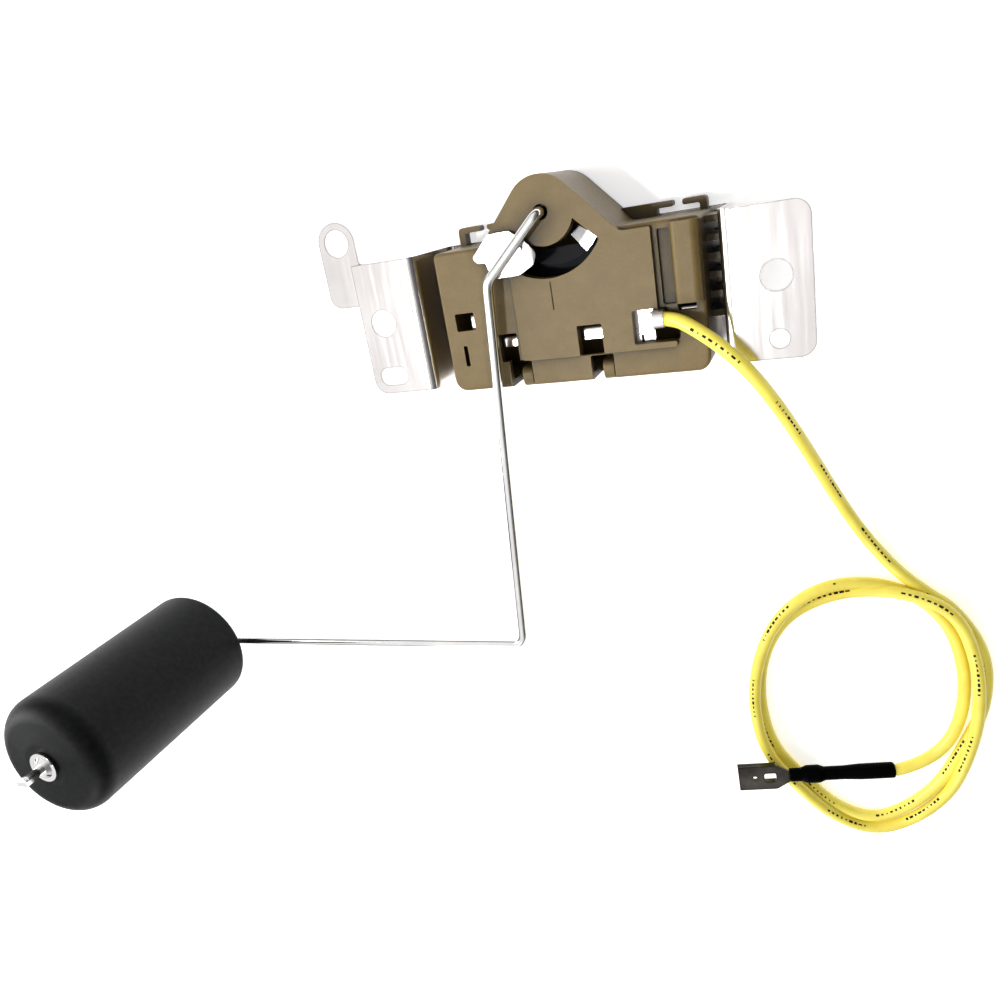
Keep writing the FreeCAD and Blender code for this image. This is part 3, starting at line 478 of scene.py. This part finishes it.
leadSizes = {
    "radius": 1.5, "length": 0.55, "exit": (21.4, -5.9, 23.5),
    "order": 3, "steps": 10, "roundness": 8,
    "run": [
        (19.2, -5.9, 23.45), (23.2, -5.9, 23.5), (28.0, -8.1, 26.9), (33.2, -12.0, 28.2), (38.6, -18.2, 27.6),
        (43.2, -27.4, 22.2), (48.0, -39.6, 14.2), (53.2, -53.2, 6.6), (58.8, -65.0, 2.2), (65.6, -74.4, 1.5),
        (72.4, -80.6, 1.5),
    ],
    "tail": [(70.2, -128.6, 2.8), (64.7, -130.4, 3.4)],
    "loopCentre": (58.4, -112.7), "loopHalf": (26.9, 36.2),
    "turnStep": 22.5, "firstAngle": 47.0, "lastAngle": -748.0,
    # Where the turns spread and cross: angle, share of the loop's outline, height
    "shape": [
        (60, 1.02, 1.5), (18, 1.05, 1.5), (0, 0.95, 1.5), (-22, 0.83, 1.5), (-50, 0.84, 1.5),
        (-95, 0.95, 1.5), (-128, 0.85, 1.5), (-160, 0.93, 1.5), (-210, 0.96, 1.5), (-262, 0.875, 1.6),
        (-290, 0.96, 4.5), (-315, 1.05, 4.6), (-345, 0.94, 3.6), (-372, 0.86, 4.6), (-410, 0.95, 1.7),
        (-450, 1.045, 1.5), (-488, 0.90, 4.3), (-520, 0.985, 4.4), (-550, 0.985, 4.4), (-592, 1.01, 4.2),
        (-629, 0.955, 2.4), (-675, 0.94, 1.5), (-715, 0.79, 1.5), (-748, 0.71, 2.0),
    ],
}


def smoothBetween(table, angle):
    for (before, share, height), (after, nextShare, nextHeight) in zip(table, table[1:]):
        if before >= angle >= after:
            t = (before - angle) / (before - after)
            t = t * t * (3 - 2 * t)
            return share + (nextShare - share) * t, height + (nextHeight - height) * t
    return table[-1][1:]


def leadRoute(sizes):
    route = list(sizes["run"])
    step = sizes["turnStep"]
    # The spline runs inside its control points, so they are set outside the loop by this share
    outside = 2 / (1 + math.cos(math.radians(step)))
    angle = sizes["firstAngle"]
    while angle > sizes["lastAngle"]:
        share, height = smoothBetween(sizes["shape"], angle)
        turn = math.radians(angle)
        route.append((
            sizes["loopCentre"][0] + sizes["loopHalf"][0] * share * outside * math.cos(turn),
            sizes["loopCentre"][1] + sizes["loopHalf"][1] * share * outside * math.sin(turn), height))
        angle -= step
    return route + list(sizes["tail"])


def makeSpline(name, route, sizes):
    curve = bpy.data.curves.new(name, "CURVE")
    curve.dimensions = "3D"
    spline = curve.splines.new("NURBS")
    spline.points.add(len(route) - 1)
    for point, place in zip(spline.points, route):
        point.co = (*toMetres(place), 1)
    spline.order_u = sizes["order"]
    spline.use_endpoint_u = True
    spline.resolution_u = sizes["steps"]
    curve.bevel_depth = sizes["radius"] * millimetre
    curve.bevel_resolution = sizes["roundness"]
    curve.use_fill_caps = True
    return curve


def readLine(curve):
    bare = curve.copy()
    bare.bevel_depth = 0
    holder = bpy.data.objects.new("bareLine", bare)
    scene.collection.objects.link(holder)
    mesh = bpy.data.meshes.new_from_object(holder.evaluated_get(bpy.context.evaluated_depsgraph_get()))
    line = [vertex.co.copy() for vertex in mesh.vertices]
    bpy.data.objects.remove(holder)
    return line


leadCurve = makeSpline("yellowLead", leadRoute(leadSizes), leadSizes)
yellowLead = bpy.data.objects.new("yellowLead", leadCurve)
scene.collection.objects.link(yellowLead)
yellowLead.data.materials.append(yellowInsulation)
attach(yellowLead, "mount")
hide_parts("lead_run", "lead_coil", "lead_tail")
leadLine = readLine(leadCurve)
leadLong = sum((after - before).length for before, after in zip(leadLine, leadLine[1:]))
print("lead laid:", round(leadLong, 4), "m in", len(leadLine), "points")


# Print on the lead: short generic dashes in loose groups, which wander round the insulation. The names are
# those of the inputs of the printAlong tree: Period and Kept count the dashes from one group to the next and
# the dashes in a group, and Pace is the wander's angle from one dash to the next.

printSizes = {
    "Start": 0.010, "End": 0.47, "Spacing": 0.00135, "Long": 0.0009, "Wide": 0.00055, "Ring": 0.0015,
    "Thick": 0.00003, "Facing": 0.05, "Wander": -0.75, "Pace": 0.042, "Period": 17.0, "Kept": 8.5,
    "Least": (0.30, 0.55, 1.0), "Most": (1.20, 1.15, 1.0), "Seed": 4,
}
# In the length mode the trim's two ends are at these sockets, whose names its other mode has too
trimSockets = {"Start": 4, "End": 5}


def makePrintTree():
    tree = bpy.data.node_groups.new("printAlong", "GeometryNodeTree")
    face = tree.interface
    face.new_socket(name="Geometry", in_out="INPUT", socket_type="NodeSocketGeometry")
    for label in ("Start", "End", "Spacing", "Long", "Wide", "Ring", "Thick", "Facing", "Wander", "Pace",
                  "Period", "Kept"):
        face.new_socket(name=label, in_out="INPUT", socket_type="NodeSocketFloat")
    for label in ("Least", "Most"):
        face.new_socket(name=label, in_out="INPUT", socket_type="NodeSocketVector")
    face.new_socket(name="Seed", in_out="INPUT", socket_type="NodeSocketInt")
    face.new_socket(name="Ink", in_out="INPUT", socket_type="NodeSocketMaterial")
    face.new_socket(name="Geometry", in_out="OUTPUT", socket_type="NodeSocketGeometry")
    entry = addNode(tree, "NodeGroupInput", (-1400, 0))

    def calculate(operation, place, first, second=None):
        node = addNode(tree, "ShaderNodeMath", place, operation=operation)
        for socket, value in zip(node.inputs, (first, second)):
            if value is not None:
                tree.links.new(value, socket)
        return node.outputs[0]

    # One dash: a thin block bent to the insulation's curve
    block = addNode(tree, "GeometryNodeMeshCube", (-1000, -500))
    block.inputs["Vertices X"].default_value = 2
    block.inputs["Vertices Y"].default_value = 4
    extent = addNode(tree, "ShaderNodeCombineXYZ", (-1200, -500))
    for source, target in (("Long", 0), ("Wide", 1), ("Thick", 2)):
        tree.links.new(entry.outputs[source], extent.inputs[target])
    tree.links.new(extent.outputs[0], block.inputs["Size"])
    place = addNode(tree, "GeometryNodeInputPosition", (-1200, -750))
    parts = addNode(tree, "ShaderNodeSeparateXYZ", (-1050, -750))
    tree.links.new(place.outputs[0], parts.inputs[0])
    angle = calculate("DIVIDE", (-880, -700), parts.outputs["Y"], entry.outputs["Ring"])
    reach = calculate("ADD", (-880, -860), parts.outputs["Z"], entry.outputs["Ring"])
    bent = addNode(tree, "ShaderNodeCombineXYZ", (-520, -750))
    tree.links.new(parts.outputs["X"], bent.inputs[0])
    sideways = calculate("MULTIPLY", (-680, -700), reach, calculate("SINE", (-780, -640), angle))
    upwards = calculate("MULTIPLY", (-680, -860), reach, calculate("COSINE", (-780, -940), angle))
    tree.links.new(sideways, bent.inputs[1])
    tree.links.new(upwards, bent.inputs[2])
    shaped = addNode(tree, "GeometryNodeSetPosition", (-350, -500))
    tree.links.new(block.outputs["Mesh"], shaped.inputs["Geometry"])
    tree.links.new(bent.outputs[0], shaped.inputs["Position"])

    # Points along the lead, with the dashes turned upwards and then swung to either side by the wander
    trimmed = addNode(tree, "GeometryNodeTrimCurve", (-1150, 150), mode="LENGTH")
    tree.links.new(entry.outputs["Geometry"], trimmed.inputs["Curve"])
    for label, socket in trimSockets.items():
        tree.links.new(entry.outputs[label], trimmed.inputs[socket])
    spots = addNode(tree, "GeometryNodeCurveToPoints", (-950, 150), mode="LENGTH")
    tree.links.new(trimmed.outputs["Curve"], spots.inputs["Curve"])
    tree.links.new(entry.outputs["Spacing"], spots.inputs["Length"])
    along = addNode(tree, "FunctionNodeAlignRotationToVector", (-750, 0), axis="X")
    tree.links.new(spots.outputs["Tangent"], along.inputs["Vector"])
    upright = addNode(tree, "FunctionNodeAlignRotationToVector", (-550, 0), axis="Z", pivot_axis="X")
    tree.links.new(along.outputs[0], upright.inputs["Rotation"])
    upright.inputs["Vector"].default_value = (0, 0, 1)
    number = addNode(tree, "GeometryNodeInputIndex", (-950, -150))
    phase = calculate("MULTIPLY", (-800, -180), number.outputs[0], entry.outputs["Pace"])
    wave = calculate("SINE", (-700, -180), phase)
    swing = calculate("MULTIPLY", (-600, -180), entry.outputs["Wander"], wave)
    lean = addNode(tree, "ShaderNodeCombineXYZ", (-330, -180))
    tree.links.new(calculate("ADD", (-450, -180), swing, entry.outputs["Facing"]), lean.inputs[0])
    turned = addNode(tree, "FunctionNodeRotateRotation", (-350, 0), rotation_space="LOCAL")
    tree.links.new(upright.outputs[0], turned.inputs["Rotation"])
    tree.links.new(lean.outputs[0], turned.inputs[1])
    inGroup = calculate("MODULO", (-450, 320), number.outputs[0], entry.outputs["Period"])
    kept = calculate("LESS_THAN", (-350, 320), inGroup, entry.outputs["Kept"])
    size = addNode(tree, "FunctionNodeRandomValue", (-550, -330), data_type="FLOAT_VECTOR")
    tree.links.new(entry.outputs["Least"], size.inputs[0])
    tree.links.new(entry.outputs["Most"], size.inputs[1])
    tree.links.new(entry.outputs["Seed"], size.inputs["Seed"])
    dashes = addNode(tree, "GeometryNodeInstanceOnPoints", (-120, 100))
    tree.links.new(spots.outputs["Points"], dashes.inputs["Points"])
    tree.links.new(kept, dashes.inputs["Selection"])
    tree.links.new(shaped.outputs[0], dashes.inputs["Instance"])
    tree.links.new(turned.outputs[0], dashes.inputs["Rotation"])
    tree.links.new(size.outputs[0], dashes.inputs["Scale"])
    plain = addNode(tree, "GeometryNodeRealizeInstances", (80, 100))
    tree.links.new(dashes.outputs[0], plain.inputs[0])
    inked = addNode(tree, "GeometryNodeSetMaterial", (260, 100))
    tree.links.new(plain.outputs[0], inked.inputs["Geometry"])
    tree.links.new(entry.outputs["Ink"], inked.inputs["Material"])
    leave = addNode(tree, "NodeGroupOutput", (450, 100))
    tree.links.new(inked.outputs[0], leave.inputs[0])
    return tree


def growPrint(sizes):
    bare = leadCurve.copy()
    bare.bevel_depth = 0
    holder = bpy.data.objects.new("printLine", bare)
    scene.collection.objects.link(holder)
    growth = holder.modifiers.new("printAlong", "NODES")
    growth.node_group = makePrintTree()
    values = dict(sizes, Ink=printInk)
    for item in growth.node_group.interface.items_tree:
        if item.in_out == "INPUT" and item.name in values:
            growth[item.identifier] = values[item.name]
    holder.update_tag()
    mesh = bpy.data.meshes.new_from_object(holder.evaluated_get(bpy.context.evaluated_depsgraph_get()))
    holder.modifiers.clear()
    bpy.data.objects.remove(holder)
    mesh.name = "leadPrint"
    return mesh


leadPrint = linkPiece("leadPrint", growPrint(printSizes), "mount")
print("print grown:", len(leadPrint.data.polygons), "faces")


# Bench, lights and camera

benchLook = {"half": 3.0, "drop": 0.0001, "shade": (0.93, 0.93, 0.93), "glow": 0.45}


def makeBench(look):
    mesh = bpy.data.meshes.new("bench")
    half = look["half"]
    corners = [(-half, -half, 0), (half, -half, 0), (half, half, 0), (-half, half, 0)]
    mesh.from_pydata(corners, [], [(0, 1, 2, 3)])
    bench = bpy.data.objects.new("bench", mesh)
    scene.collection.objects.link(bench)
    bench.location.z = -look["drop"]
    material, tree, shader = startMaterial("benchWhite", Roughness=0.9, Specular_IOR_Level=0.1,
                                           Emission_Color=(1, 1, 1, 1), Emission_Strength=look["glow"])
    shader.inputs["Base Color"].default_value = (*look["shade"], 1)
    mesh.materials.append(material)


def addLight(name, place, target, size, power, cone=None):
    light = bpy.data.lights.new(name, "SPOT" if cone else "AREA")
    if cone:
        light.spot_size = math.radians(cone)
        light.spot_blend = 1.0
        light.shadow_soft_size = size
    else:
        light.shape = "RECTANGLE"
        light.size, light.size_y = size
    light.energy = power
    holder = bpy.data.objects.new(name, light)
    scene.collection.objects.link(holder)
    holder.location = place
    holder.rotation_mode = "QUATERNION"
    holder.rotation_quaternion = (Vector(target) - Vector(place)).to_track_quat("-Z", "Y")


def makeWorld(look):
    world = bpy.data.worlds.new("studio")
    scene.world = world
    world.use_nodes = True
    tree = world.node_tree
    background = tree.nodes["Background"]
    place = addNode(tree, "ShaderNodeTexCoord", (-900, 0))
    parts = addNode(tree, "ShaderNodeSeparateXYZ", (-700, 0))
    tree.links.new(place.outputs["Generated"], parts.inputs[0])
    lift = ramp(tree, (-450, 100), [(position, grey(value)) for position, value in look["rising"]])
    tree.links.new(parts.outputs["Z"], lift.inputs["Fac"])
    across = addNode(tree, "ShaderNodeMapRange", (-650, -200))
    across.inputs["From Min"].default_value = -1.0
    tree.links.new(parts.outputs["X"], across.inputs["Value"])
    side = ramp(tree, (-450, -200), [(position, grey(value)) for position, value in look["sideways"]])
    tree.links.new(across.outputs["Result"], side.inputs["Fac"])
    both = multiplyShades(tree, (-150, 0), lift.outputs["Color"], side.outputs["Color"])
    # The dark sides only shade the part: a camera that looks past the bench sees a pale wall
    rays = addNode(tree, "ShaderNodeLightPath", (-350, 350))
    seen = mixShades(tree, (0, 150), rays.outputs["Is Camera Ray"], both, grey(look["wall"]))
    tree.links.new(seen, background.inputs["Color"])
    background.inputs["Strength"].default_value = 1.0


studioLook = {
    "rising": [(0.0, 0.05), (0.20, 0.05), (0.48, 1.05), (0.88, 1.06), (0.97, 1.06)],
    "sideways": [(0.0, 1.0), (0.58, 1.0), (0.78, 0.22), (1.0, 0.10)], "wall": 1.0,
}
cameraSizes = {
    "place": (55.35, 23.0, 204.04), "forward": (-0.3735, -0.3269, -0.8681),
    "up": (0.0319, 0.9308, -0.3642), "lens": 30.96, "sensor": 36.0, "near": 0.01,
}


def makeCamera(sizes):
    camera = bpy.data.cameras.new("camera")
    camera.sensor_width = sizes["sensor"]
    camera.lens = sizes["lens"]
    camera.clip_start = sizes["near"]
    holder = bpy.data.objects.new("camera", camera)
    scene.collection.objects.link(holder)
    back = -Vector(sizes["forward"]).normalized()
    across = Vector(sizes["up"]).cross(back).normalized()
    above = back.cross(across)
    turn = Matrix((across, above, back)).transposed().to_4x4()
    holder.matrix_world = Matrix.Translation(toMetres(sizes["place"])) @ turn
    scene.camera = holder


makeBench(benchLook)
makeWorld(studioLook)
addLight("leftKey", place=(-1.0, 0.0, 0.55), target=(0, -0.03, 0), size=(0.6, 0.6), power=10.0)
addLight("overhead", place=(-0.207, -0.097, 0.80), target=(0.0, 0.003, 0.02), size=0.06, power=46.0, cone=6.0)
addLight("frontFill", place=(-0.35, -1.0, 0.6), target=(0, -0.04, 0), size=(0.5, 0.4), power=3.0)
makeCamera(cameraSizes)
scene.view_settings.view_transform = "Standard"
print("bench, lights and camera set")

bpy.context.view_layer.update()
